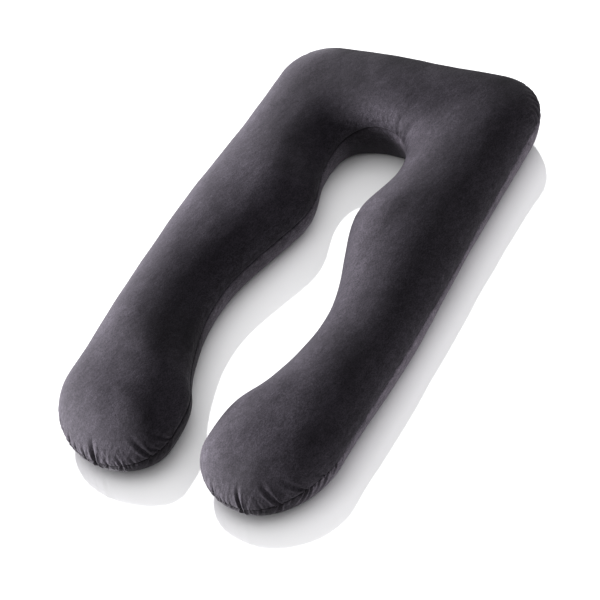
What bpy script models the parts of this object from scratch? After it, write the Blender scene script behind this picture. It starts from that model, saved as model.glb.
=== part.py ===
import math

import bmesh
import bpy
import numpy as np

NAME = "u_shaped_pregnancy_pillow"
NODE = "pillow"

# Plan, metres: x runs across from the middle line, y from the arm ends to the head edge
LENGTH = 1.5537
HALF_WIDTH = 0.400
HEAD_BOW = -0.003
NECK_Y = 1.272
OUTER_KNOTS_Y = (0.55, 1.0)
NECK_SLOPE = -0.35
LOBE_SLOPE = 0.9
LOBE_POWER_INNER = 2.14
PUFF_AT = 0.62
PUFF_SPREAD = 0.18

# Each arm's seam outline, crown heights in metres and the crest's share of the way across from the inner edge
ARMS = {
    "right": {
        "side": 1,
        "inner": ((0.058, 0.1175), (0.105, 0.297), (0.162, 0.619), (0.0743, 0.937), (0.107, 1.088)),
        "neck_side": (0.092, 1.233),
        "outer_start_y": 0.222,
        "outer_x": (0.395, 0.4034, 0.401),
        "tip_x": 0.207,
        "outer_power": 1.91,
        "corner": (0.118, 0.1245),
        "corner_puff": 0.012,
        "crown": (0.098, 0.100, 0.093, 0.112, 0.106),
        "crest": (0.5, 0.5, 0.5, 0.42, 0.45),
    },
    "left": {
        "side": -1,
        "inner": ((0.0425, 0.1185), (0.0905, 0.298), (0.1565, 0.623), (0.077, 0.953), (0.105, 1.085)),
        "neck_side": (0.092, 1.2215),
        "outer_start_y": 0.2135,
        "outer_x": (0.402, 0.414, 0.416),
        "tip_x": 0.198,
        "outer_power": 2.09,
        "corner": (0.137, 0.146),
        "corner_puff": -0.006,
        "crown": (0.098, 0.103, 0.098, 0.118, 0.112),
        "crest": (0.5, 0.5, 0.5, 0.42, 0.42),
    },
}
CROWN_NECK = 0.087
CROWN_HEAD = 0.070
CREST_HEAD = 0.5

# Seam height above the rest face, metres
SEAM_TIP = 0.061
SEAM_LOBE = 0.094
SEAM_ARM = 0.095
SEAM_HEAD = 0.149

# Stations at which seam heights and crown heights are stated: 0 to 1 along the arm, 1 to 2 across the head
SEAM_STATIONS = (0.0, 0.35, 0.95, 1.5, 2.0)
CROWN_STATIONS = (0.0, 0.22, 0.51, 0.80, 1.0, 1.5, 2.0)

# Profile from seam to crown and from seam to rest face
TOP_POWER = 2.35
BOTTOM_POWER = 2.0
FLAT_FROM = 0.414
TOP_ANGLES = (1.6, 13.0, 28.0, 44.0, 60.0, 76.0)
BOTTOM_ANGLES = (70.0, 48.0, 24.0, 3.0)

# Drawn-in seam: how far the panels stand proud of it
SEAM_DEPTH = 0.005

# Ribs along an arm, beside the head, round its corner, along its edge and round a lobe
ARM_RIBS = 28
SIDE_RIBS = 9
CORNER_RIBS = 16
EDGE_RIBS = 8
LOBE_RIBS = 52

# Puckers: arm, anchor, metres along the seam from it (outer side positive), depth, half width, reach
PUCKERS = (
    ("right", "tip", -0.118, 0.0030, 0.007, 0.050),
    ("right", "tip", -0.075, 0.0045, 0.008, 0.060),
    ("right", "tip", -0.036, 0.0035, 0.007, 0.050),
    ("right", "tip", 0.012, 0.0060, 0.009, 0.085),
    ("right", "tip", 0.064, 0.0035, 0.007, 0.050),
    ("right", "tip", 0.111, 0.0060, 0.009, 0.085),
    ("right", "tip", 0.146, 0.0030, 0.007, 0.045),
    ("right", "tip", 0.181, 0.0045, 0.009, 0.070),
    ("right", "tip", 0.241, 0.0035, 0.009, 0.050),
    ("left", "tip", 0.176, 0.0030, 0.007, 0.050),
    ("left", "tip", 0.139, 0.0040, 0.008, 0.065),
    ("left", "tip", 0.107, 0.0035, 0.007, 0.055),
    ("left", "tip", 0.074, 0.0045, 0.008, 0.065),
    ("left", "tip", 0.041, 0.0035, 0.007, 0.055),
    ("left", "tip", 0.012, 0.0055, 0.008, 0.080),
    ("left", "tip", -0.028, 0.0040, 0.008, 0.060),
    ("left", "tip", -0.070, 0.0045, 0.008, 0.060),
    ("left", "tip", -0.104, 0.0030, 0.007, 0.045),
    ("left", "tip", -0.146, 0.0060, 0.010, 0.080),
    ("left", "tip", -0.209, 0.0040, 0.009, 0.060),
    ("right", "corner", -0.060, 0.0035, 0.008, 0.060),
    ("right", "corner", -0.022, 0.0045, 0.008, 0.075),
    ("right", "corner", 0.014, 0.0040, 0.008, 0.060),
    ("right", "corner", 0.052, 0.0035, 0.008, 0.070),
    ("left", "corner", -0.050, 0.0035, 0.008, 0.055),
    ("left", "corner", -0.008, 0.0045, 0.008, 0.070),
    ("left", "corner", 0.036, 0.0035, 0.008, 0.060),
)
LOWER_SHARE = 0.6
RIDGE = 0.8

# Charcoal velvet
COLOUR = (0.052, 0.046, 0.056, 1.0)
ROUGHNESS = 0.92


def clamped_spline(knots, values, at, start=0.0, end=0.0):
    """Cubic through the knots with the slopes at both ends given."""
    x = np.asarray(knots, float)
    y = np.asarray(values, float)
    n = len(x)
    gap = np.diff(x)
    rise = np.diff(y) / gap
    system = np.zeros((n, n))
    right = np.zeros(n)
    system[0, 0] = 1.0
    right[0] = start
    system[-1, -1] = 1.0
    right[-1] = end
    for i in range(1, n - 1):
        system[i, i - 1] = gap[i]
        system[i, i] = 2.0 * (gap[i - 1] + gap[i])
        system[i, i + 1] = gap[i - 1]
        right[i] = 3.0 * (gap[i] * rise[i - 1] + gap[i - 1] * rise[i])
    slope = np.linalg.solve(system, right)
    k = np.clip(np.searchsorted(x, at, side="right") - 1, 0, n - 2)
    t = (at - x[k]) / gap[k]
    low = (1 + 2 * t) * (1 - t) ** 2 * y[k] + t * (1 - t) ** 2 * gap[k] * slope[k]
    high = t * t * (3 - 2 * t) * y[k + 1] + t * t * (t - 1) * gap[k] * slope[k + 1]
    return low + high


def head_stretches(arm):
    """Lengths of the outer edge beside the head, round its corner and along its edge to the middle line."""
    corner_x, corner_y = arm["corner"]
    straight = LENGTH - corner_y - arm["inner"][-1][1]
    bend = (corner_x + corner_y) / 2 * math.pi / 2
    return straight, bend, HALF_WIDTH - corner_x


def head_shares(arm):
    """Share of the head's outer edge at each of its ribs, closest round the corner."""
    straight, bend, edge = head_stretches(arm)
    total = straight + bend + edge
    shares = [
        np.linspace(0.0, straight, SIDE_RIBS + 1),
        np.linspace(straight, straight + bend, CORNER_RIBS + 1)[1:],
        np.linspace(straight + bend, total, EDGE_RIBS + 1)[1:],
    ]
    return np.concatenate(shares) / total


def inner_edge(arm):
    """Seam of the inner edge, from the arm's end to the middle of the neck hole."""
    points = np.array(arm["inner"] + (arm["neck_side"], (0.0, NECK_Y)))
    steps = np.sqrt(np.linalg.norm(np.diff(points, axis=0), axis=1))
    knots = np.concatenate([[0.0], np.cumsum(steps)])
    neck = knots[len(arm["inner"]) - 1]
    along = np.linspace(0.0, neck, ARM_RIBS)
    round_neck = neck + head_shares(arm)[1:] * (knots[-1] - neck)
    at = np.concatenate([along, round_neck])
    x = clamped_spline(knots, points[:, 0], at, 0.0, NECK_SLOPE)
    y = clamped_spline(knots, points[:, 1], at, LOBE_SLOPE, 0.0)
    return np.stack([x, y], axis=1)


def outer_edge(arm, inner):
    """Seam of the outer edge, from the arm's end round the head's corner to the middle line."""
    corner_x, corner_y = arm["corner"]
    top = LENGTH - corner_y
    knots_y = (arm["outer_start_y"],) + OUTER_KNOTS_Y + (top,)
    knots_x = arm["outer_x"] + (HALF_WIDTH,)
    start = inner[0, 1]
    neck = arm["inner"][-1][1]
    share = (inner[:ARM_RIBS, 1] - start) / (neck - start)
    side_y = arm["outer_start_y"] + share * (neck - arm["outer_start_y"])
    straight, bend, edge = head_stretches(arm)
    run = head_shares(arm)[1:] * (straight + bend + edge)
    beside = run < straight - 1e-9
    side_y = np.concatenate([side_y, neck + run[beside]])
    side = np.stack([clamped_spline(knots_y, knots_x, side_y), side_y], axis=1)
    past = run[~beside] - straight
    turn = np.minimum(1.0, past / bend) * math.pi / 2
    x = HALF_WIDTH - corner_x + corner_x * np.cos(turn) - np.maximum(0.0, past - bend)
    x[-1] = 0.0
    bow = HEAD_BOW * np.cos(math.pi / 2 * np.minimum(1.0, x / HALF_WIDTH))
    head = np.stack([x, top + corner_y * np.sin(turn) + bow], axis=1)
    return puffed(np.concatenate([side, head]), arm)


def puffed(edge, arm):
    """The outer edge with the filling's push outwards or in at the head's corner."""
    run = np.gradient(edge, axis=0)
    normal = np.stack([run[:, 1], -run[:, 0]], axis=1)
    normal = normal / np.linalg.norm(normal, axis=1)[:, None]
    share = np.concatenate([np.zeros(ARM_RIBS), head_shares(arm)[1:]])
    push = arm["corner_puff"] * np.exp(-(((share - PUFF_AT) / PUFF_SPREAD) ** 2))
    return edge + normal * push[:, None]


def quarter_cosine(turn):
    return np.maximum(np.cos(turn), 0.0)


def lobe_edge(arm, inner, outer):
    """Seam round the arm's end, from its inner side over the tip to its outer side."""
    turn = np.linspace(0.0, math.pi / 2, LOBE_RIBS // 2 + 1)
    back = turn[::-1][1:]
    tip = arm["tip_x"]
    power = 2 / LOBE_POWER_INNER
    inner_x = tip - (tip - inner[0, 0]) * quarter_cosine(turn) ** power
    inner_y = inner[0, 1] * (1 - np.sin(turn) ** power)
    power = 2 / arm["outer_power"]
    outer_x = tip + (outer[0, 0] - tip) * quarter_cosine(back) ** power
    outer_y = outer[0, 1] * (1 - np.sin(back) ** power)
    points = np.stack([np.append(inner_x, outer_x), np.append(inner_y, outer_y)], axis=1)
    return points, np.sin(np.append(turn, back)) ** 2


def ribs_of(arm):
    """Ribs of one side, from the neck hole down the inner edge, round the lobe and up the outer edge."""
    inner = inner_edge(arm)
    outer = outer_edge(arm, inner)
    lobe, droop = lobe_edge(arm, inner, outer)
    along = np.linspace(0.0, 1.0, ARM_RIBS)
    station = np.concatenate([along, 1.0 + head_shares(arm)[1:]])
    crest = clamped_spline(CROWN_STATIONS, arm["crest"] + (CREST_HEAD, CREST_HEAD), station)[:, None]
    spine = inner * (1.0 - crest) + outer * crest
    crown = clamped_spline(CROWN_STATIONS, arm["crown"] + (CROWN_NECK, CROWN_HEAD), station)
    seams = (SEAM_LOBE, SEAM_ARM, SEAM_ARM, (SEAM_ARM + SEAM_HEAD) / 2, SEAM_HEAD)
    seam = clamped_spline(SEAM_STATIONS, seams, station)
    fan = LOBE_RIBS - 1
    number = np.arange(len(spine))
    at = np.concatenate([number[::-1], np.zeros(fan, int), number])
    fan_rim = SEAM_LOBE + (SEAM_TIP - SEAM_LOBE) * droop[1:-1]
    edge = np.concatenate([inner[::-1], lobe[1:-1], outer])
    length = np.linalg.norm(np.diff(edge, axis=0), axis=1)
    place = np.concatenate([[0.0], np.cumsum(length)])
    return {
        "edge": edge * (arm["side"], 1),
        "middle": spine[at] * (arm["side"], 1),
        "station": at,
        "crown": crown[at],
        "rim": np.concatenate([seam[::-1], fan_rim, seam]),
        "seam": seam[at],
        "place": place,
        "tip": place[len(inner) + fan // 2],
        "corner": place[np.argmax(edge.sum(axis=1))],
    }


def profile_rings():
    """Ring by ring from the rest face over the seam to the crown: share of the rib, share of the height."""
    rings = [(1.0, -1.0), (FLAT_FROM, -1.0)]
    for degrees in BOTTOM_ANGLES:
        turn = math.radians(degrees)
        reach = 1.0 - math.cos(turn) ** (2 / BOTTOM_POWER)
        rings.append((FLAT_FROM * reach, -(math.sin(turn) ** (2 / BOTTOM_POWER))))
    rings.append((0.0, 0.0))
    for degrees in TOP_ANGLES:
        turn = math.radians(degrees)
        rings.append((1.0 - math.cos(turn) ** (2 / TOP_POWER), math.sin(turn) ** (2 / TOP_POWER)))
    rings.append((1.0, 1.0))
    return np.array(rings)


def skin(ribs, rings):
    """Points of the filled form, one row per rib and one column per ring."""
    along = rings[:, 0]
    rise = rings[:, 1]
    edge = ribs["edge"][:, None, :]
    middle = ribs["middle"][:, None, :]
    plan = edge + (middle - edge) * along[None, :, None]
    outward = ribs["edge"] - ribs["middle"]
    outward = outward / np.linalg.norm(outward, axis=1)[:, None]
    drawn = np.where(rise == 0.0, SEAM_DEPTH, 0.0)
    plan = plan - outward[:, None, :] * drawn[None, :, None]
    blend = (1.0 - along) ** 2
    level = ribs["rim"][:, None] * blend + ribs["seam"][:, None] * (1.0 - blend)
    upper = level + ribs["crown"][:, None] * np.maximum(rise, 0.0)
    height = np.where(rise < 0.0, level * (1.0 + rise), upper)
    return np.concatenate([plan, height[:, :, None]], axis=2)


def puckered(points, ribs, rings, arm_name):
    """The form with each pucker pressed in from the seam, a low ridge on each side of it."""
    across = np.gradient(points, axis=0)
    up = np.gradient(points, axis=1)
    normal = np.cross(across, up)
    size = np.linalg.norm(normal, axis=2)
    normal = normal / np.maximum(size, 1e-9)[:, :, None]
    steps = np.linalg.norm(np.diff(points, axis=1), axis=2)
    walked = np.concatenate([np.zeros((len(points), 1)), np.cumsum(steps, axis=1)], axis=1)
    rim = int(np.argmin(np.abs(rings[:, 1])))
    from_seam = np.abs(walked - walked[:, rim : rim + 1])
    upper = rings[:, 1] >= 0.0
    press = np.zeros(points.shape[:2])
    for name, anchor, offset, depth, half_width, reach in PUCKERS:
        if name != arm_name:
            continue
        q = (ribs["place"] - ribs[anchor] - offset) / half_width
        trough = (1.0 - RIDGE * q**2) * np.exp(-(q**2))
        length = np.where(upper, reach, reach * LOWER_SHARE)
        t = np.clip(from_seam / length[None, :], 0.0, 1.0)
        fade = (1.0 - t) ** 2 * (1.0 + 2.0 * t)
        press = press + depth * trough[:, None] * fade
    moved = points - normal * press[:, :, None] * ARMS[arm_name]["side"]
    moved[:, :, 2] = np.maximum(moved[:, :, 2], 0.0)
    moved[:, :2, 2] = 0.0
    return moved


def whole_skin():
    """Both sides joined into one closed run of ribs, with the spine's points shared."""
    rings = profile_rings()
    rows = []
    stations = []
    for name, arm in ARMS.items():
        ribs = ribs_of(arm)
        rows.append(puckered(skin(ribs, rings), ribs, rings, name))
        stations.append(ribs["station"])
    last = int(stations[0].max())
    other = np.where(stations[1] == last, last, stations[1] + last + 1)
    points = np.concatenate([rows[0], rows[1][::-1][1:-1]])
    return points, np.concatenate([stations[0], other[::-1][1:-1]])


def closed_mesh(points, stations):
    """Vertices and faces of the closed form."""
    vertices = []
    shared = {}
    index = np.zeros(points.shape[:2], int)
    ring_count = points.shape[1]
    for i, row in enumerate(points):
        for r, point in enumerate(row):
            key = (int(stations[i]), r) if r in (0, ring_count - 1) else None
            if key in shared:
                index[i, r] = shared[key]
                continue
            index[i, r] = len(vertices)
            vertices.append(point)
            if key:
                shared[key] = index[i, r]
    faces = []
    for i in range(len(points)):
        j = (i + 1) % len(points)
        for r in range(ring_count - 1):
            corners = (index[i, r], index[j, r], index[j, r + 1], index[i, r + 1])
            face = list(dict.fromkeys(int(c) for c in corners))
            if len(face) > 2:
                faces.append(face)
    vertices = np.array(vertices)
    low = vertices.min(axis=0)
    high = vertices.max(axis=0)
    vertices[:, :2] -= (low[:2] + high[:2]) / 2
    return vertices, faces


def velvet():
    material = bpy.data.materials.new("velvet")
    material.use_nodes = True
    shader = material.node_tree.nodes["Principled BSDF"]
    shader.inputs["Base Color"].default_value = COLOUR
    shader.inputs["Roughness"].default_value = ROUGHNESS
    shader.inputs["Metallic"].default_value = 0.0
    return material


def main():
    for old in list(bpy.data.objects):
        bpy.data.objects.remove(old, do_unlink=True)
    vertices, faces = closed_mesh(*whole_skin())
    mesh = bpy.data.meshes.new(NODE)
    mesh.from_pydata([tuple(v) for v in vertices], [], faces)
    pillow = bpy.data.objects.new(NODE, mesh)
    collection = bpy.data.collections.new(NAME)
    bpy.context.scene.collection.children.link(collection)
    collection.objects.link(pillow)
    form = bmesh.new()
    form.from_mesh(mesh)
    bmesh.ops.recalc_face_normals(form, faces=form.faces)
    for face in form.faces:
        face.smooth = True
    form.to_mesh(mesh)
    form.free()
    mesh.materials.append(velvet())


main()
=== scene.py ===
import math

import bpy
import numpy as np
from mathutils import Matrix, Vector, noise

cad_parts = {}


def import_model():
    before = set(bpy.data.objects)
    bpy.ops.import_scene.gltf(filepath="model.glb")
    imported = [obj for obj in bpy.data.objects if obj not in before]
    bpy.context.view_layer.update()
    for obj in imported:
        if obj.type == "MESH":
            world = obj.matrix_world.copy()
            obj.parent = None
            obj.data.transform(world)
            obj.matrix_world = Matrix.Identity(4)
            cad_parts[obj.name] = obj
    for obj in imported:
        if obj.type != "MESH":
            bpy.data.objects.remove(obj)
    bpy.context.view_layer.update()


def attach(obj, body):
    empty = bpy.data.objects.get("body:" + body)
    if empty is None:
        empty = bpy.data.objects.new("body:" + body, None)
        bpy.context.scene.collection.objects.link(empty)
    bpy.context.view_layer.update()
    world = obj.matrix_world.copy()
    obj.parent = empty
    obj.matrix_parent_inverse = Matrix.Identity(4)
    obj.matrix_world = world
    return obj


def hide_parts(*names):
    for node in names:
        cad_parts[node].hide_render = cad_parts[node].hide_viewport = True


# Plan in metres: x across from the middle line, y from the arm ends to the head edge
LENGTH = 1.5537
HALF_WIDTH = 0.400
HEAD_BOW = -0.003
NECK_Y = 1.272
OUTER_KNOTS_Y = (0.55, 1.0)

# Inner edge: its slopes at the arm's end and at the middle line, and how full the arm's end is on that side
LOBE_SLOPE = 0.9
NECK_SLOPE = -0.35
LOBE_POWER_INNER = 2.14

# Where on the way round the head the filling pushes its corner, and how broadly
PUFF_AT = 0.62
PUFF_SPREAD = 0.18

# Each arm: points of the inner edge and beside the neck, outer edge, middle and fullness of the arm's end,
# radii and push of the head's corner, then crown heights and where the crest lies between the two edges
ARMS = {
    "right": {
        "side": 1,
        "inner": ((0.058, 0.1175), (0.105, 0.297), (0.162, 0.619), (0.0743, 0.937), (0.107, 1.088)),
        "neck_side": (0.092, 1.233),
        "outer_start_y": 0.222,
        "outer_x": (0.395, 0.4034, 0.401),
        "tip_x": 0.207,
        "outer_power": 1.91,
        "corner": (0.118, 0.1245),
        "corner_puff": 0.012,
        "crown": (0.098, 0.100, 0.093, 0.112, 0.106),
        "crest": (0.5, 0.5, 0.5, 0.42, 0.45),
    },
    "left": {
        "side": -1,
        "inner": ((0.0425, 0.1185), (0.0905, 0.298), (0.1565, 0.623), (0.077, 0.953), (0.105, 1.085)),
        "neck_side": (0.092, 1.2215),
        "outer_start_y": 0.2135,
        "outer_x": (0.402, 0.414, 0.416),
        "tip_x": 0.198,
        "outer_power": 2.09,
        "corner": (0.137, 0.146),
        "corner_puff": -0.006,
        "crown": (0.098, 0.103, 0.098, 0.118, 0.112),
        "crest": (0.5, 0.5, 0.5, 0.42, 0.42),
    },
}

# Heights: the crown's is above the seam. Stations run from 0 at the arm's end over 1 beside the neck
# to 2 at the middle of the head
CROWN_NECK = 0.087
CROWN_HEAD = 0.070
CREST_HEAD = 0.5
CROWN_STATIONS = (0.0, 0.22, 0.51, 0.80, 1.0, 1.5, 2.0)
SEAM_TIP = 0.061
SEAM_LOBE = 0.094
SEAM_ARM = 0.095
SEAM_HEAD = 0.149
SEAM_STATIONS = (0.0, 0.35, 0.95, 1.5, 2.0)

# Section: how full it is above and below the seam, and the share of a rib where the rest face begins
TOP_POWER = 2.35
BOTTOM_POWER = 2.0
FLAT_FROM = 0.414

# Fineness of the skin, and how closely its rings gather towards the seam
ARM_RIBS = 84
SIDE_RIBS = 30
CORNER_RIBS = 64
EDGE_RIBS = 30
LOBE_RIBS = 440
TOP_RINGS = 38
BOTTOM_RINGS = 15
RING_GATHER = 1.9

# Seam: how far it is drawn in, how quickly the panels leave it, and how wide its dark line of painted shade
# is
SEAM_DEPTH = 0.0042
SEAM_SOFT = 0.0019
SEAM_PAINTED_SHADE_WIDTH = 0.0026

# Main creases: arm, anchor, metres along the seam, depth, half width, reach, lean
CREASES = (
    ("right", "tip", -0.118, 0.0018, 0.0040, 0.040, 0.05),
    ("right", "tip", -0.075, 0.0048, 0.0045, 0.055, -0.10),
    ("right", "tip", -0.050, 0.0026, 0.0035, 0.040, -0.05),
    ("right", "tip", -0.034, 0.0024, 0.0035, 0.040, -0.10),
    ("right", "tip", -0.015, 0.0016, 0.0035, 0.035, -0.10),
    ("right", "tip", 0.012, 0.0080, 0.0042, 0.085, -0.20),
    ("right", "tip", 0.064, 0.0022, 0.0045, 0.045, -0.30),
    ("right", "tip", 0.111, 0.0110, 0.0055, 0.090, -0.55),
    ("right", "tip", 0.143, 0.0024, 0.0045, 0.040, -0.60),
    ("right", "tip", 0.184, 0.0095, 0.0060, 0.075, -0.80),
    ("right", "tip", 0.241, 0.0040, 0.0060, 0.055, -0.60),
    ("left", "tip", 0.192, 0.0042, 0.0040, 0.060, 0.10),
    ("left", "tip", 0.160, 0.0056, 0.0045, 0.070, 0.10),
    ("left", "tip", 0.136, 0.0036, 0.0040, 0.055, 0.10),
    ("left", "tip", 0.104, 0.0060, 0.0045, 0.065, 0.05),
    ("left", "tip", 0.078, 0.0036, 0.0040, 0.050, 0.05),
    ("left", "tip", 0.046, 0.0046, 0.0045, 0.060, 0.08),
    ("left", "tip", 0.012, 0.0090, 0.0055, 0.090, 0.05),
    ("left", "tip", -0.024, 0.0034, 0.0045, 0.045, 0.10),
    ("left", "tip", -0.064, 0.0044, 0.0045, 0.050, 0.20),
    ("left", "tip", -0.100, 0.0030, 0.0045, 0.040, 0.30),
    ("left", "tip", -0.146, 0.0095, 0.0060, 0.090, 0.45),
    ("left", "tip", -0.172, 0.0060, 0.0050, 0.060, 0.70),
    ("left", "tip", -0.212, 0.0068, 0.0060, 0.075, 0.70),
    ("right", "corner", -0.105, 0.0050, 0.0040, 0.055, 0.25),
    ("right", "corner", -0.083, 0.0062, 0.0045, 0.075, 0.20),
    ("right", "corner", -0.060, 0.0050, 0.0040, 0.065, 0.15),
    ("right", "corner", -0.041, 0.0066, 0.0045, 0.090, 0.12),
    ("right", "corner", -0.020, 0.0052, 0.0040, 0.070, 0.10),
    ("right", "corner", 0.004, 0.0060, 0.0045, 0.080, 0.00),
    ("right", "corner", 0.040, 0.0046, 0.0045, 0.065, -0.10),
    ("right", "corner", -0.165, 0.0040, 0.0060, 0.070, 0.60),
    ("right", "corner", -0.225, 0.0036, 0.0070, 0.075, 0.60),
    ("right", "tip", -1.412, 0.0036, 0.0060, 0.090, -0.10),
    ("right", "tip", -1.382, 0.0048, 0.0060, 0.110, 0.00),
    ("right", "tip", -1.350, 0.0034, 0.0060, 0.090, 0.20),
    ("left", "corner", -0.050, 0.0040, 0.0050, 0.060, 0.10),
    ("left", "corner", -0.008, 0.0052, 0.0050, 0.080, 0.00),
    ("left", "corner", 0.036, 0.0040, 0.0050, 0.065, -0.10),
)

# Pleats of the lower panel alone, same columns
LOWER_PLEATS = (
    ("right", "tip", 0.196, 0.0045, 0.0050, 0.060, -0.50),
    ("right", "tip", 0.222, 0.0030, 0.0045, 0.045, -0.60),
    ("right", "tip", 0.251, 0.0055, 0.0055, 0.065, -0.70),
    ("right", "tip", 0.283, 0.0050, 0.0055, 0.060, -0.75),
    ("right", "tip", 0.318, 0.0040, 0.0060, 0.055, -0.80),
    ("right", "tip", 0.372, 0.0030, 0.0060, 0.050, -0.80),
    ("right", "tip", 0.455, 0.0022, 0.0070, 0.045, -0.80),
    ("right", "corner", -0.105, 0.0030, 0.0055, 0.045, 0.60),
    ("right", "corner", -0.165, 0.0026, 0.0060, 0.050, 0.60),
    ("left", "tip", -0.245, 0.0030, 0.0050, 0.045, 0.50),
    ("left", "tip", -0.292, 0.0026, 0.0055, 0.045, 0.60),
)

# A main crease reaches less far below the seam. Every crease starts narrow and a little shallow at the seam,
# is full at a share of its reach and widens on the way out. Beside its trough rises a low lip
LOWER_SHARE = 0.6
CREASE_START_WIDTH = 0.6
CREASE_WIDENING = 1.0
CREASE_START_DEPTH = 0.55
CREASE_FULL_AT = 0.12
TROUGH_STEEPNESS = 1.2
LIP_HEIGHT = 0.34
LIP_AT = 2.0
LIP_WIDTH = 0.9

# Small gathers between the main creases, by stretch: metres apart, depth, half width, reach
GATHERS = {
    "lobe": (0.012, 0.0008, 0.0030, 0.024),
    "corner": (0.015, 0.0010, 0.0035, 0.028),
    "straight": (0.034, 0.0007, 0.0060, 0.024),
}

# How unevenly they fall: lowest and highest size, lean, share on one panel, shift and step along the seam
GATHER_SEED = 11
GATHER_SIZE = (0.35, 1.6)
GATHER_LEAN = (-0.2, 0.2)
GATHER_SHARE = (0.3, 1.3)
GATHER_SHIFT = (-0.2, 0.2)
GATHER_STEP = (0.45, 1.5)

# Unevenness of the filling: wavelength and height of each swell, and the height from which swells are full
SWELLS = ((0.27, 0.0042), (0.12, 0.0019), (0.055, 0.0006))
SWELLS_FULL_FROM = 0.05

# Velvet: roughness, sheen, and tones of the top and lower panels; the lower panel's tones are painted light
# and shade.
# The lower panel goes from its painted shaded tone past the top's, which stands at TOP_SHARE, to its painted
# lit one.
# The line of the seam keeps only a share of the tone: painted shade in its groove
VELVET_ROUGHNESS = 0.88
VELVET_SPECULAR = 0.10
SHEEN_WEIGHT = 0.06
SHEEN_ROUGHNESS = 0.35
SHEEN_TINT = (0.92, 0.88, 0.95, 1.0)
TOP_TONE = (0.0305, 0.0270, 0.0332, 1.0)
LOWER_PAINTED_LIT_TONE = (0.108, 0.095, 0.114, 1.0)
LOWER_PAINTED_SHADE_TONE = (0.0190, 0.0166, 0.0204, 1.0)
TOP_SHARE = 0.3
SEAM_PAINTED_SHADE = 0.30

# Lower panel's painted light: how sharply its painted lit tone keeps to the side that faces +x, where along
# each arm that tone starts and is full and how light it gets, and a painted pool of light by x, y, radius and
# how light
LOWER_SHARPNESS = 5.0
LOWER_PAINTED_LIGHT_FADE = {"right": (-0.10, 0.05, 1.0), "left": (0.12, 0.45, 0.75)}
LOWER_PAINTED_LIGHT_POOL = (0.075, 0.47, 0.045, 0.75)

# Nap shades: scale, detail, stretch, turn, warp, where the shade starts and ends, how far it goes,
# mark that it is kept to
NAP = (
    (6.0, 3.0, (1.2, 0.7, 1.0), -0.20, 0.5, 0.34, 0.68, 0.13, None),
    (18.0, 4.0, (1.3, 0.7, 1.0), -0.30, 1.2, 0.42, 0.62, 0.09, None),
    (52.0, 5.0, (1.5, 0.6, 1.0), -0.30, 0.8, 0.36, 0.66, 0.12, None),
    (150.0, 4.0, (1.6, 0.45, 1.0), -0.25, 0.3, 0.30, 0.70, 0.16, None),
    (420.0, 2.0, (1.5, 0.45, 1.0), -0.20, 0.0, 0.36, 0.64, 0.36, None),
    (80.0, 4.0, (1.5, 0.5, 1.0), -0.30, 0.8, 0.38, 0.62, 0.17, "edge"),
)

# Broad patches of painted light and shade, partly brushing of the pile that makes it lighter or darker:
# which way, x and y from the middle, radius
PAINTED_LIGHT_AND_BRUSHING_SHADES = {"lighter": 1.35, "darker": 0.65}
PAINTED_LIGHT_AND_BRUSHING = (
    ("darker", -0.17, 0.57, 0.12),
    ("lighter", 0.00, 0.48, 0.05),
    ("lighter", -0.17, 0.15, 0.12),
    ("darker", -0.12, -0.37, 0.10),
    ("lighter", -0.17, -0.62, 0.10),
    ("darker", -0.08, -0.70, 0.07),
    ("darker", 0.22, -0.77, 0.08),
    ("lighter", 0.25, -0.62, 0.10),
)

# Relief of the pile: scale, detail, stretch, turn, strength, height, mark that it is kept to
RELIEF = (
    (24.0, 4.0, (1.5, 0.7, 1.0), -0.20, 0.18, 0.0035, None),
    (70.0, 4.0, (1.4, 0.45, 1.0), -0.25, 0.7, 0.0050, "edge"),
    (110.0, 3.0, (1.4, 0.5, 1.0), -0.20, 0.20, 0.0012, None),
    (420.0, 2.0, (1.0, 1.0, 1.0), 0.0, 0.30, 0.0008, None),
)

# The edge mark: full up to the first distance from the seam, nothing from the second
EDGE_REACH = (0.030, 0.085)

# Camera, fitted to the photograph's outline and seam line
TARGET = (0.0444, 0.656, 0.08)
AZIMUTH = 37.42
ELEVATION = 45.67
DISTANCE = 4.853
ROLL = -13.91
LENS = 109.39
SENSOR_WIDTH = 36.0

# Floor: pale and a little glossy
FLOOR_SIZE = 60.0
FLOOR_COLOUR = (0.96, 0.96, 0.965, 1.0)
FLOOR_MIRROR = 0.34
FLOOR_ROUGHNESS = 0.06

# World light, then suns: name, azimuth and elevation that it comes from, spread, strength, colour
WORLD_LIGHT = 0.16
WORLD_COLOUR = (0.98, 0.96, 1.06, 1.0)
PILLOW_LIGHTS = (
    ("key", 198.0, 3.0, 14.0, 22.0, (0.98, 0.98, 1.0)),
    ("key_high", 212.0, 15.0, 18.0, 9.2, (0.98, 0.98, 1.0)),
    ("fill", 318.0, 8.0, 30.0, 1.1, (1.0, 1.0, 1.0)),
    ("rim", 96.0, 4.0, 30.0, 2.3, (1.0, 1.0, 1.0)),
)
FLOOR_LIGHTS = (
    ("floor_wide", 0.0, 90.0, 112.0, 3.5, (1.0, 1.0, 1.0)),
    ("floor_above", 0.0, 90.0, 40.0, 0.8, (1.0, 1.0, 1.0)),
)

# Sockets of the Mix node when it mixes colours
MIX_SHARE = 0
MIX_FIRST = 6
MIX_SECOND = 7
MIX_RESULT = 2

QUARTER_TURN = math.pi / 2
NEARLY_NOTHING = 1e-9


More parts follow.
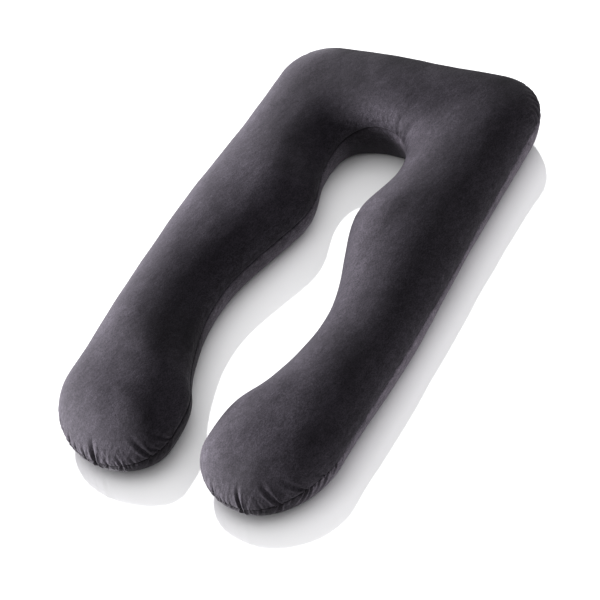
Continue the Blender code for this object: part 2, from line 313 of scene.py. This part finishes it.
def clamped_spline(knots, values, at, start=0.0, end=0.0):
    """Cubic through the knots with the slopes at both ends given."""
    x = np.asarray(knots, float)
    y = np.asarray(values, float)
    n = len(x)
    gap = np.diff(x)
    rise = np.diff(y) / gap
    system = np.zeros((n, n))
    right = np.zeros(n)
    system[0, 0] = 1.0
    right[0] = start
    system[-1, -1] = 1.0
    right[-1] = end
    for i in range(1, n - 1):
        system[i, i - 1] = gap[i]
        system[i, i] = 2.0 * (gap[i - 1] + gap[i])
        system[i, i + 1] = gap[i - 1]
        right[i] = 3.0 * (gap[i] * rise[i - 1] + gap[i - 1] * rise[i])
    slope = np.linalg.solve(system, right)
    k = np.clip(np.searchsorted(x, at, side="right") - 1, 0, n - 2)
    t = (at - x[k]) / gap[k]
    low = (1 + 2 * t) * (1 - t) ** 2 * y[k] + t * (1 - t) ** 2 * gap[k] * slope[k]
    high = t * t * (3 - 2 * t) * y[k + 1] + t * t * (t - 1) * gap[k] * slope[k + 1]
    return low + high


def head_stretches(arm):
    """Lengths of the outer edge beside the head, round its corner and along its edge to the middle line."""
    corner_x, corner_y = arm["corner"]
    straight = LENGTH - corner_y - arm["inner"][-1][1]
    bend = (corner_x + corner_y) / 2 * QUARTER_TURN
    return straight, bend, HALF_WIDTH - corner_x


def head_shares(arm):
    """Where the ribs stand on the way round the head, from 0 beside the neck to 1 at the middle line."""
    straight, bend, edge = head_stretches(arm)
    total = straight + bend + edge
    shares = [
        np.linspace(0.0, straight, SIDE_RIBS + 1),
        np.linspace(straight, straight + bend, CORNER_RIBS + 1)[1:],
        np.linspace(straight + bend, total, EDGE_RIBS + 1)[1:],
    ]
    return np.concatenate(shares) / total


def inner_edge(arm):
    points = np.array(arm["inner"] + (arm["neck_side"], (0.0, NECK_Y)))
    steps = np.sqrt(np.linalg.norm(np.diff(points, axis=0), axis=1))
    knots = np.concatenate([[0.0], np.cumsum(steps)])
    neck = knots[len(arm["inner"]) - 1]
    along = np.linspace(0.0, neck, ARM_RIBS)
    round_neck = neck + head_shares(arm)[1:] * (knots[-1] - neck)
    at = np.concatenate([along, round_neck])
    x = clamped_spline(knots, points[:, 0], at, 0.0, NECK_SLOPE)
    y = clamped_spline(knots, points[:, 1], at, LOBE_SLOPE, 0.0)
    return np.stack([x, y], axis=1)


def outer_edge(arm, inner):
    corner_x, corner_y = arm["corner"]
    top = LENGTH - corner_y
    knots_y = (arm["outer_start_y"],) + OUTER_KNOTS_Y + (top,)
    knots_x = arm["outer_x"] + (HALF_WIDTH,)
    start = inner[0, 1]
    neck = arm["inner"][-1][1]
    share = (inner[:ARM_RIBS, 1] - start) / (neck - start)
    side_y = arm["outer_start_y"] + share * (neck - arm["outer_start_y"])
    straight, bend, edge = head_stretches(arm)
    run = head_shares(arm)[1:] * (straight + bend + edge)
    beside = run < straight - NEARLY_NOTHING
    side_y = np.concatenate([side_y, neck + run[beside]])
    side = np.stack([clamped_spline(knots_y, knots_x, side_y), side_y], axis=1)
    past = run[~beside] - straight
    turn = np.minimum(1.0, past / bend) * QUARTER_TURN
    x = HALF_WIDTH - corner_x + corner_x * np.cos(turn) - np.maximum(0.0, past - bend)
    x[-1] = 0.0
    bow = HEAD_BOW * np.cos(QUARTER_TURN * np.minimum(1.0, x / HALF_WIDTH))
    head = np.stack([x, top + corner_y * np.sin(turn) + bow], axis=1)
    return puffed(np.concatenate([side, head]), arm)


def puffed(edge, arm):
    """The outer edge with the filling's push outwards or in at the head's corner."""
    run = np.gradient(edge, axis=0)
    normal = np.stack([run[:, 1], -run[:, 0]], axis=1)
    normal = normal / np.linalg.norm(normal, axis=1)[:, None]
    share = np.concatenate([np.zeros(ARM_RIBS), head_shares(arm)[1:]])
    push = arm["corner_puff"] * np.exp(-(((share - PUFF_AT) / PUFF_SPREAD) ** 2))
    return edge + normal * push[:, None]


def lobe_edge(arm, inner, outer):
    """The edge round the arm's end, and how far the seam has dropped, from 0 at its sides to 1 at the tip."""
    turn = np.linspace(0.0, QUARTER_TURN, LOBE_RIBS // 2 + 1)
    back = turn[::-1][1:]
    tip = arm["tip_x"]
    power = 2 / LOBE_POWER_INNER
    inner_x = tip - (tip - inner[0, 0]) * np.maximum(np.cos(turn), 0.0) ** power
    inner_y = inner[0, 1] * (1 - np.sin(turn) ** power)
    power = 2 / arm["outer_power"]
    outer_x = tip + (outer[0, 0] - tip) * np.maximum(np.cos(back), 0.0) ** power
    outer_y = outer[0, 1] * (1 - np.sin(back) ** power)
    points = np.stack([np.append(inner_x, outer_x), np.append(inner_y, outer_y)], axis=1)
    return points, np.sin(np.append(turn, back)) ** 2


def ribs_of(arm):
    """Ribs of one side, from the neck hole down the inner edge, round the lobe and up the outer edge."""
    inner = inner_edge(arm)
    outer = outer_edge(arm, inner)
    lobe, droop = lobe_edge(arm, inner, outer)
    along = np.linspace(0.0, 1.0, ARM_RIBS)
    station = np.concatenate([along, 1.0 + head_shares(arm)[1:]])
    crest = clamped_spline(CROWN_STATIONS, arm["crest"] + (CREST_HEAD, CREST_HEAD), station)[:, None]
    spine = inner * (1.0 - crest) + outer * crest
    crown = clamped_spline(CROWN_STATIONS, arm["crown"] + (CROWN_NECK, CROWN_HEAD), station)
    seams = (SEAM_LOBE, SEAM_ARM, SEAM_ARM, (SEAM_ARM + SEAM_HEAD) / 2, SEAM_HEAD)
    seam = clamped_spline(SEAM_STATIONS, seams, station)
    fan = LOBE_RIBS - 1
    number = np.arange(len(spine))
    at = np.concatenate([number[::-1], np.zeros(fan, int), number])
    fan_rim = SEAM_LOBE + (SEAM_TIP - SEAM_LOBE) * droop[1:-1]
    edge = np.concatenate([inner[::-1], lobe[1:-1], outer])
    length = np.linalg.norm(np.diff(edge, axis=0), axis=1)
    place = np.concatenate([[0.0], np.cumsum(length)])
    bend_end = len(place) - 1 - EDGE_RIBS
    return {
        "edge": edge * (arm["side"], 1),
        "middle": spine[at] * (arm["side"], 1),
        "spine_number": at,
        "crown": crown[at],
        "rim": np.concatenate([seam[::-1], fan_rim, seam]),
        "seam": seam[at],
        "place": place,
        "tip": place[len(inner) + fan // 2],
        "corner": place[np.argmax(edge.sum(axis=1))],
        "lobe": (place[len(inner) - 1], place[len(inner) + fan]),
        "bend": (place[bend_end - CORNER_RIBS], place[bend_end]),
    }


def profile_rings():
    """Ring by ring from the rest face over the seam to the crown: share of the rib, share of the height."""
    rings = [(1.0, -1.0), ((1.0 + FLAT_FROM) / 2, -1.0), (FLAT_FROM, -1.0)]
    for k in range(BOTTOM_RINGS - 1, 0, -1):
        turn = QUARTER_TURN * (k / BOTTOM_RINGS) ** RING_GATHER
        reach = 1.0 - math.cos(turn) ** (2 / BOTTOM_POWER)
        rings.append((FLAT_FROM * reach, -(math.sin(turn) ** (2 / BOTTOM_POWER))))
    rings.append((0.0, 0.0))
    for k in range(1, TOP_RINGS):
        turn = QUARTER_TURN * (k / TOP_RINGS) ** RING_GATHER
        rings.append((1.0 - math.cos(turn) ** (2 / TOP_POWER), math.sin(turn) ** (2 / TOP_POWER)))
    rings.append((1.0, 1.0))
    return np.array(rings)


def seam_ring(rings):
    """Number of the ring that lies in the seam."""
    return int(np.argmin(np.abs(rings[:, 1])))


def skin(ribs, rings):
    """Points of the filled form, one row per rib and one column per ring, with no seam or crease yet."""
    along = rings[:, 0]
    rise = rings[:, 1]
    edge = ribs["edge"][:, None, :]
    middle = ribs["middle"][:, None, :]
    plan = edge + (middle - edge) * along[None, :, None]
    blend = (1.0 - along) ** 2
    level = ribs["rim"][:, None] * blend + ribs["seam"][:, None] * (1.0 - blend)
    upper = level + ribs["crown"][:, None] * np.maximum(rise, 0.0)
    height = np.where(rise < 0.0, level * (1.0 + rise), upper)
    return np.concatenate([plan, height[:, :, None]], axis=2)


def outward(points, side):
    """Direction out of the skin at each point."""
    across = np.gradient(points, axis=0)
    up = np.gradient(points, axis=1)
    normal = np.cross(across, up) * side
    size = np.linalg.norm(normal, axis=2)
    return normal / np.maximum(size, NEARLY_NOTHING)[:, :, None]


def from_seam(points, rings):
    """Distance of each point from the seam, walked along its rib."""
    steps = np.linalg.norm(np.diff(points, axis=1), axis=2)
    walked = np.concatenate([np.zeros((len(points), 1)), np.cumsum(steps, axis=1)], axis=1)
    rim = seam_ring(rings)
    return np.abs(walked - walked[:, rim : rim + 1])


def crease(place, walk, centre, depth, half_width, reach, lean):
    """Pressed-in depth of one crease that runs from the seam: narrow and sharp there, wide and shallow at
    its end."""
    t = np.clip(walk / reach, 0.0, 1.0)
    width = half_width * (CREASE_START_WIDTH + CREASE_WIDENING * t)
    q = np.abs(place - centre - lean * walk) / width
    lip = LIP_HEIGHT * np.exp(-(((q - LIP_AT) / LIP_WIDTH) ** 2))
    trough = np.exp(-TROUGH_STEEPNESS * q) - lip
    grown = np.minimum(walk / (CREASE_FULL_AT * reach), 1.0)
    start = CREASE_START_DEPTH + (1.0 - CREASE_START_DEPTH) * grown
    return depth * trough * start * (1.0 - t) ** 2 * (1.0 + 2.0 * t)


def main_creases(press, place, walk, upper, ribs, arm_name):
    """The pressed-in depth with the listed creases and pleats."""
    for name, anchor, offset, depth, half_width, reach, lean in CREASES:
        if name == arm_name:
            length = np.where(upper, reach, reach * LOWER_SHARE)
            press = press + crease(place, walk, ribs[anchor] + offset, depth, half_width, length, lean)
    for name, anchor, offset, depth, half_width, reach, lean in LOWER_PLEATS:
        if name == arm_name:
            pleat = crease(place, walk, ribs[anchor] + offset, depth, half_width, reach, lean)
            press = press + np.where(upper, 0.0, pleat)
    return press


def stretch_at(at, ribs):
    if ribs["bend"][0] < at < ribs["bend"][1]:
        return "corner"
    if ribs["lobe"][0] < at < ribs["lobe"][1]:
        return "lobe"
    return "straight"


def small_gathers(press, place, walk, upper, ribs, rng):
    """The pressed-in depth with small gathers all along the seam, uneven on each panel for itself."""
    at = 0.0
    while at < ribs["place"][-1]:
        apart, depth, half_width, reach = GATHERS[stretch_at(at, ribs)]
        size = rng.uniform(*GATHER_SIZE)
        lean = rng.uniform(*GATHER_LEAN)
        for panel in (upper, ~upper):
            share = rng.uniform(*GATHER_SHARE)
            centre = at + rng.uniform(*GATHER_SHIFT) * apart
            mark = crease(place, walk, centre, depth * size * share, half_width, reach * size, lean)
            press = press + np.where(panel, mark, 0.0)
        at += apart * rng.uniform(*GATHER_STEP)
    return press


def gathered(points, ribs, rings, arm_name, rng):
    """The form drawn in at its seam, with its main creases and the small gathers between them."""
    walk = from_seam(points, rings)
    place = ribs["place"][:, None]
    upper = (rings[:, 1] >= 0.0)[None, :]
    press = SEAM_DEPTH * np.exp(-walk / SEAM_SOFT)
    press = main_creases(press, place, walk, upper, ribs, arm_name)
    press = small_gathers(press, place, walk, upper, ribs, rng)
    return points - outward(points, ARMS[arm_name]["side"]) * press[:, :, None]


def swollen(points):
    """Uneven filling: low swells of a few wavelengths over the whole skin, none on the rest face."""
    flat = points.reshape(-1, 3)
    rise = np.zeros(len(flat))
    for wavelength, height in SWELLS:
        rise += height * np.array([noise.noise(Vector(p) / wavelength) for p in flat])
    return rise.reshape(points.shape[:2]) * np.clip(points[:, :, 2] / SWELLS_FULL_FROM, 0.0, 1.0)


def whole_skin():
    """Both sides as one closed loop of ribs, and the number of the spine's point at which each rib ends."""
    rings = profile_rings()
    rows = []
    numbers = []
    rng = np.random.RandomState(GATHER_SEED)
    for name, arm in ARMS.items():
        ribs = ribs_of(arm)
        form = skin(ribs, rings)
        lift = swollen(form)
        form = gathered(form, ribs, rings, name, rng) + outward(form, arm["side"]) * lift[:, :, None]
        form[:, :, 2] = np.maximum(form[:, :, 2], 0.0)
        rows.append(form)
        numbers.append(ribs["spine_number"])
    last = int(numbers[0].max())
    other = np.where(numbers[1] == last, last, numbers[1] + last + 1)
    points = np.concatenate([rows[0], rows[1][::-1][1:-1]])
    return points, np.concatenate([numbers[0], other[::-1][1:-1]])


def closed_mesh(points, numbers):
    """Vertices, faces and the rib and ring that each vertex is on. Ribs that end at one point of the spine
    share their first and last vertices."""
    vertices = []
    source = []
    shared = {}
    index = np.zeros(points.shape[:2], int)
    ring_count = points.shape[1]
    for i, row in enumerate(points):
        for r, point in enumerate(row):
            key = (int(numbers[i]), r) if r in (0, ring_count - 1) else None
            if key in shared:
                index[i, r] = shared[key]
                continue
            index[i, r] = len(vertices)
            vertices.append(point)
            source.append((i, r))
            if key:
                shared[key] = index[i, r]
    faces = []
    for i in range(len(points)):
        j = (i + 1) % len(points)
        for r in range(ring_count - 1):
            corners = (index[i, r], index[j, r], index[j, r + 1], index[i, r + 1])
            face = list(dict.fromkeys(int(c) for c in corners))
            if len(face) > 2:
                faces.append(face)
    return np.array(vertices), faces, np.array(source).T


def grey(value):
    return (value, value, value, 1.0)


def marked_share(tree, name):
    """The value of a mark that the mesh carries."""
    node = tree.nodes.new("ShaderNodeAttribute")
    node.attribute_name = name
    return node.outputs["Fac"]


def field(tree, place, scale, detail, stretch, turn, warp=0.0):
    """Noise over the pillow, stretched and turned."""
    mapping = tree.nodes.new("ShaderNodeMapping")
    mapping.vector_type = "TEXTURE"
    mapping.inputs["Scale"].default_value = [1.0 / s for s in stretch]
    mapping.inputs["Rotation"].default_value = (0.0, 0.0, turn)
    texture = tree.nodes.new("ShaderNodeTexNoise")
    texture.inputs["Scale"].default_value = scale
    texture.inputs["Detail"].default_value = detail
    texture.inputs["Distortion"].default_value = warp
    tree.links.new(place, mapping.inputs["Vector"])
    tree.links.new(mapping.outputs["Vector"], texture.inputs["Vector"])
    return texture.outputs["Fac"]


def shades(tree, source, low, high, spread):
    """A grey that goes from darker to lighter while the source goes from low to high."""
    node = tree.nodes.new("ShaderNodeValToRGB")
    ends = ((low, 1.0 - spread), (high, 1.0 + spread))
    for element, (position, value) in zip(node.color_ramp.elements, ends):
        element.position = position
        element.color = grey(value)
    tree.links.new(source, node.inputs["Fac"])
    return node.outputs["Color"]


def tone_by_mark(tree, mark, none, full, between=()):
    """A tone that goes from none to full with a mark, through the tones between."""
    tone = tree.nodes.new("ShaderNodeValToRGB")
    tone.color_ramp.elements[0].color = none
    tone.color_ramp.elements[1].color = full
    for share, part in between:
        tone.color_ramp.elements.new(share).color = part
    tree.links.new(marked_share(tree, mark), tone.inputs["Fac"])
    return tone.outputs["Color"]


def multiplied(tree, colour, shade, kept_to=None):
    """The colour times a shade, everywhere or as far as a mark allows."""
    node = tree.nodes.new("ShaderNodeMix")
    node.data_type = "RGBA"
    node.blend_type = "MULTIPLY"
    node.inputs[MIX_SHARE].default_value = 1.0
    tree.links.new(colour, node.inputs[MIX_FIRST])
    tree.links.new(shade, node.inputs[MIX_SECOND])
    if kept_to:
        tree.links.new(marked_share(tree, kept_to), node.inputs[MIX_SHARE])
    return node.outputs[MIX_RESULT]


def pile_colour(tree, place):
    # The lower panel's tones are painted light and shade, set by which way it faces
    colour = tone_by_mark(tree, "panel", LOWER_PAINTED_SHADE_TONE, LOWER_PAINTED_LIT_TONE, ((TOP_SHARE, TOP_TONE),))
    # Painted shade along the seam's groove
    colour = multiplied(tree, colour, tone_by_mark(tree, "seam", grey(1.0), grey(SEAM_PAINTED_SHADE)))
    # Painted light and shade in broad patches, partly brushing of the pile
    colour = multiplied(tree, colour, marked_share(tree, "painted_light_and_brushing"))
    for scale, detail, stretch, turn, warp, low, high, spread, kept_to in NAP:
        texture = field(tree, place, scale, detail, stretch, turn, warp)
        colour = multiplied(tree, colour, shades(tree, texture, low, high, spread), kept_to)
    return colour


def pile_relief(tree, place):
    """The bumps of the pile, each laid on the one before."""
    normal = None
    for scale, detail, stretch, turn, strength, distance, kept_to in RELIEF:
        height = field(tree, place, scale, detail, stretch, turn)
        if kept_to:
            product = tree.nodes.new("ShaderNodeMath")
            product.operation = "MULTIPLY"
            tree.links.new(height, product.inputs[0])
            tree.links.new(marked_share(tree, kept_to), product.inputs[1])
            height = product.outputs["Value"]
        bump = tree.nodes.new("ShaderNodeBump")
        bump.inputs["Strength"].default_value = strength
        bump.inputs["Distance"].default_value = distance
        tree.links.new(height, bump.inputs["Height"])
        if normal is not None:
            tree.links.new(normal, bump.inputs["Normal"])
        normal = bump.outputs["Normal"]
    return normal


def velvet():
    material = bpy.data.materials.new("charcoal_velvet")
    material.use_nodes = True
    tree = material.node_tree
    shader = tree.nodes["Principled BSDF"]
    shader.inputs["Roughness"].default_value = VELVET_ROUGHNESS
    shader.inputs["Specular IOR Level"].default_value = VELVET_SPECULAR
    shader.inputs["Sheen Weight"].default_value = SHEEN_WEIGHT
    shader.inputs["Sheen Roughness"].default_value = SHEEN_ROUGHNESS
    shader.inputs["Sheen Tint"].default_value = SHEEN_TINT
    place = tree.nodes.new("ShaderNodeTexCoord").outputs["Object"]
    tree.links.new(pile_colour(tree, place), shader.inputs["Base Color"])
    tree.links.new(pile_relief(tree, place), shader.inputs["Normal"])
    return material


def marked(mesh, name, values):
    mark = mesh.attributes.new(name, "FLOAT", "POINT")
    mark.data.foreach_set("value", values)


def nearness(spots, x, y, radius):
    """Seen from above: one at the place itself, falling away softly over the radius."""
    return np.exp(-((spots[:, 0] - x) ** 2 + (spots[:, 1] - y) ** 2) / radius**2)


def panel_tone_and_painted_light(mesh, ring_of):
    """Tone of the velvet at each point: one over the top, and below the seam painted light and shade:
    lightest where the side faces +x, as if lit from there, and in a painted pool of light, darkest where it
    faces away."""
    spots = np.array([v.co for v in mesh.vertices])
    grown = {}
    for name, (start, end, most) in LOWER_PAINTED_LIGHT_FADE.items():
        far = (spots[:, 1] + LENGTH / 2 - start) / (end - start)
        grown[name] = most * np.clip(far, 0.0, 1.0)
    share = np.where(spots[:, 0] < 0.0, grown["left"], grown["right"])
    # Below the seam the side that faces +x gets painted light
    across = []
    for v in mesh.vertices:
        level = math.hypot(v.normal.x, v.normal.y)
        across.append(max(v.normal.x, 0.0) / max(level, NEARLY_NOTHING))
    # A painted pool of light on the lower panel
    x, y, radius, most_lit = LOWER_PAINTED_LIGHT_POOL
    lit = most_lit * nearness(spots, x, y, radius)
    lower = np.maximum(lit, share * np.array(across) ** LOWER_SHARPNESS)
    return np.where(ring_of < seam_ring(profile_rings()), lower, TOP_SHARE)


def painted_light_and_brushing_shade(spots):
    # Painted light and shade in broad patches, partly brushing of the pile
    shade = np.ones(len(spots))
    for way, x, y, radius in PAINTED_LIGHT_AND_BRUSHING:
        shade = shade * PAINTED_LIGHT_AND_BRUSHING_SHADES[way] ** nearness(spots, x, y, radius)
    return shade


def pillow_piece():
    """The pillow with its marks and velvet, and the plan's centre, which is moved to the origin."""
    points, numbers = whole_skin()
    vertices, faces, (rib_of, ring_of) = closed_mesh(points, numbers)
    walk = from_seam(points, profile_rings())[rib_of, ring_of]
    low = vertices.min(axis=0)
    high = vertices.max(axis=0)
    centre = (low[:2] + high[:2]) / 2
    vertices[:, :2] -= centre
    mesh = bpy.data.meshes.new("velvet_pillow")
    mesh.from_pydata([tuple(v) for v in vertices], [], faces)
    for polygon in mesh.polygons:
        polygon.use_smooth = True
    full, none = EDGE_REACH
    # Mark for the panels' tones, with painted light and shade below the seam
    marked(mesh, "panel", panel_tone_and_painted_light(mesh, ring_of))
    # Mark for the painted shade along the seam
    marked(mesh, "seam", np.exp(-((walk / SEAM_PAINTED_SHADE_WIDTH) ** 2)))
    # Mark for the broad patches of painted light and shade, partly brushing of the pile
    marked(mesh, "painted_light_and_brushing", painted_light_and_brushing_shade(vertices))
    marked(mesh, "edge", np.clip((none - walk) / (none - full), 0.0, 1.0))
    piece = bpy.data.objects.new("velvet_pillow", mesh)
    bpy.context.scene.collection.objects.link(piece)
    mesh.materials.append(velvet())
    return piece, centre


def floor():
    bpy.ops.mesh.primitive_plane_add(size=FLOOR_SIZE, location=(0.0, 0.0, 0.0))
    plane = bpy.context.object
    plane.name = "floor"
    material = bpy.data.materials.new("pale_gloss")
    material.use_nodes = True
    shader = material.node_tree.nodes["Principled BSDF"]
    shader.inputs["Base Color"].default_value = FLOOR_COLOUR
    shader.inputs["Metallic"].default_value = FLOOR_MIRROR
    shader.inputs["Roughness"].default_value = FLOOR_ROUGHNESS
    plane.data.materials.append(material)
    return plane


def only(obj):
    """A group of one object, for a light that falls on nothing else."""
    group = bpy.data.collections.new(obj.name + "_lit")
    group.objects.link(obj)
    return group


def soft_sun(name, azimuth, elevation, spread, strength, colour, falls_on):
    az = math.radians(azimuth)
    el = math.radians(elevation)
    towards = Vector((math.cos(az) * math.cos(el), math.sin(az) * math.cos(el), math.sin(el)))
    data = bpy.data.lights.new(name, "SUN")
    data.angle = math.radians(spread)
    data.energy = strength
    data.color = colour
    light = bpy.data.objects.new(name, data)
    light.rotation_euler = (-towards).to_track_quat("-Z", "Y").to_euler()
    bpy.context.scene.collection.objects.link(light)
    light.light_linking.receiver_collection = only(falls_on)


def lighting(pillow, ground):
    world = bpy.data.worlds.new("studio")
    world.use_nodes = True
    world.node_tree.nodes["Background"].inputs["Color"].default_value = WORLD_COLOUR
    world.node_tree.nodes["Background"].inputs["Strength"].default_value = WORLD_LIGHT
    bpy.context.scene.world = world
    for sun in PILLOW_LIGHTS:
        soft_sun(*sun, pillow)
    for sun in FLOOR_LIGHTS:
        soft_sun(*sun, ground)


def camera(centre):
    az = math.radians(AZIMUTH)
    el = math.radians(ELEVATION)
    roll = math.radians(ROLL)
    back = Vector((math.sin(az) * math.cos(el), -math.cos(az) * math.cos(el), math.sin(el)))
    right = (-back).cross(Vector((0.0, 0.0, 1.0))).normalized()
    up = right.cross(-back)
    turned_right = right * math.cos(roll) + up * math.sin(roll)
    turned_up = up * math.cos(roll) - right * math.sin(roll)
    target = Vector((TARGET[0] - centre[0], TARGET[1] - centre[1], TARGET[2]))
    data = bpy.data.cameras.new("camera")
    data.lens = LENS
    data.sensor_width = SENSOR_WIDTH
    shot = bpy.data.objects.new("camera", data)
    bpy.context.scene.collection.objects.link(shot)
    turn = Matrix((turned_right, turned_up, back)).transposed().to_4x4()
    shot.matrix_world = Matrix.Translation(target + back * DISTANCE) @ turn
    bpy.context.scene.camera = shot


def main():
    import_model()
    piece, centre = pillow_piece()
    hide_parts("pillow")
    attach(piece, "root")
    lighting(piece, floor())
    camera(centre)
    bpy.context.scene.view_settings.view_transform = "Standard"


main()
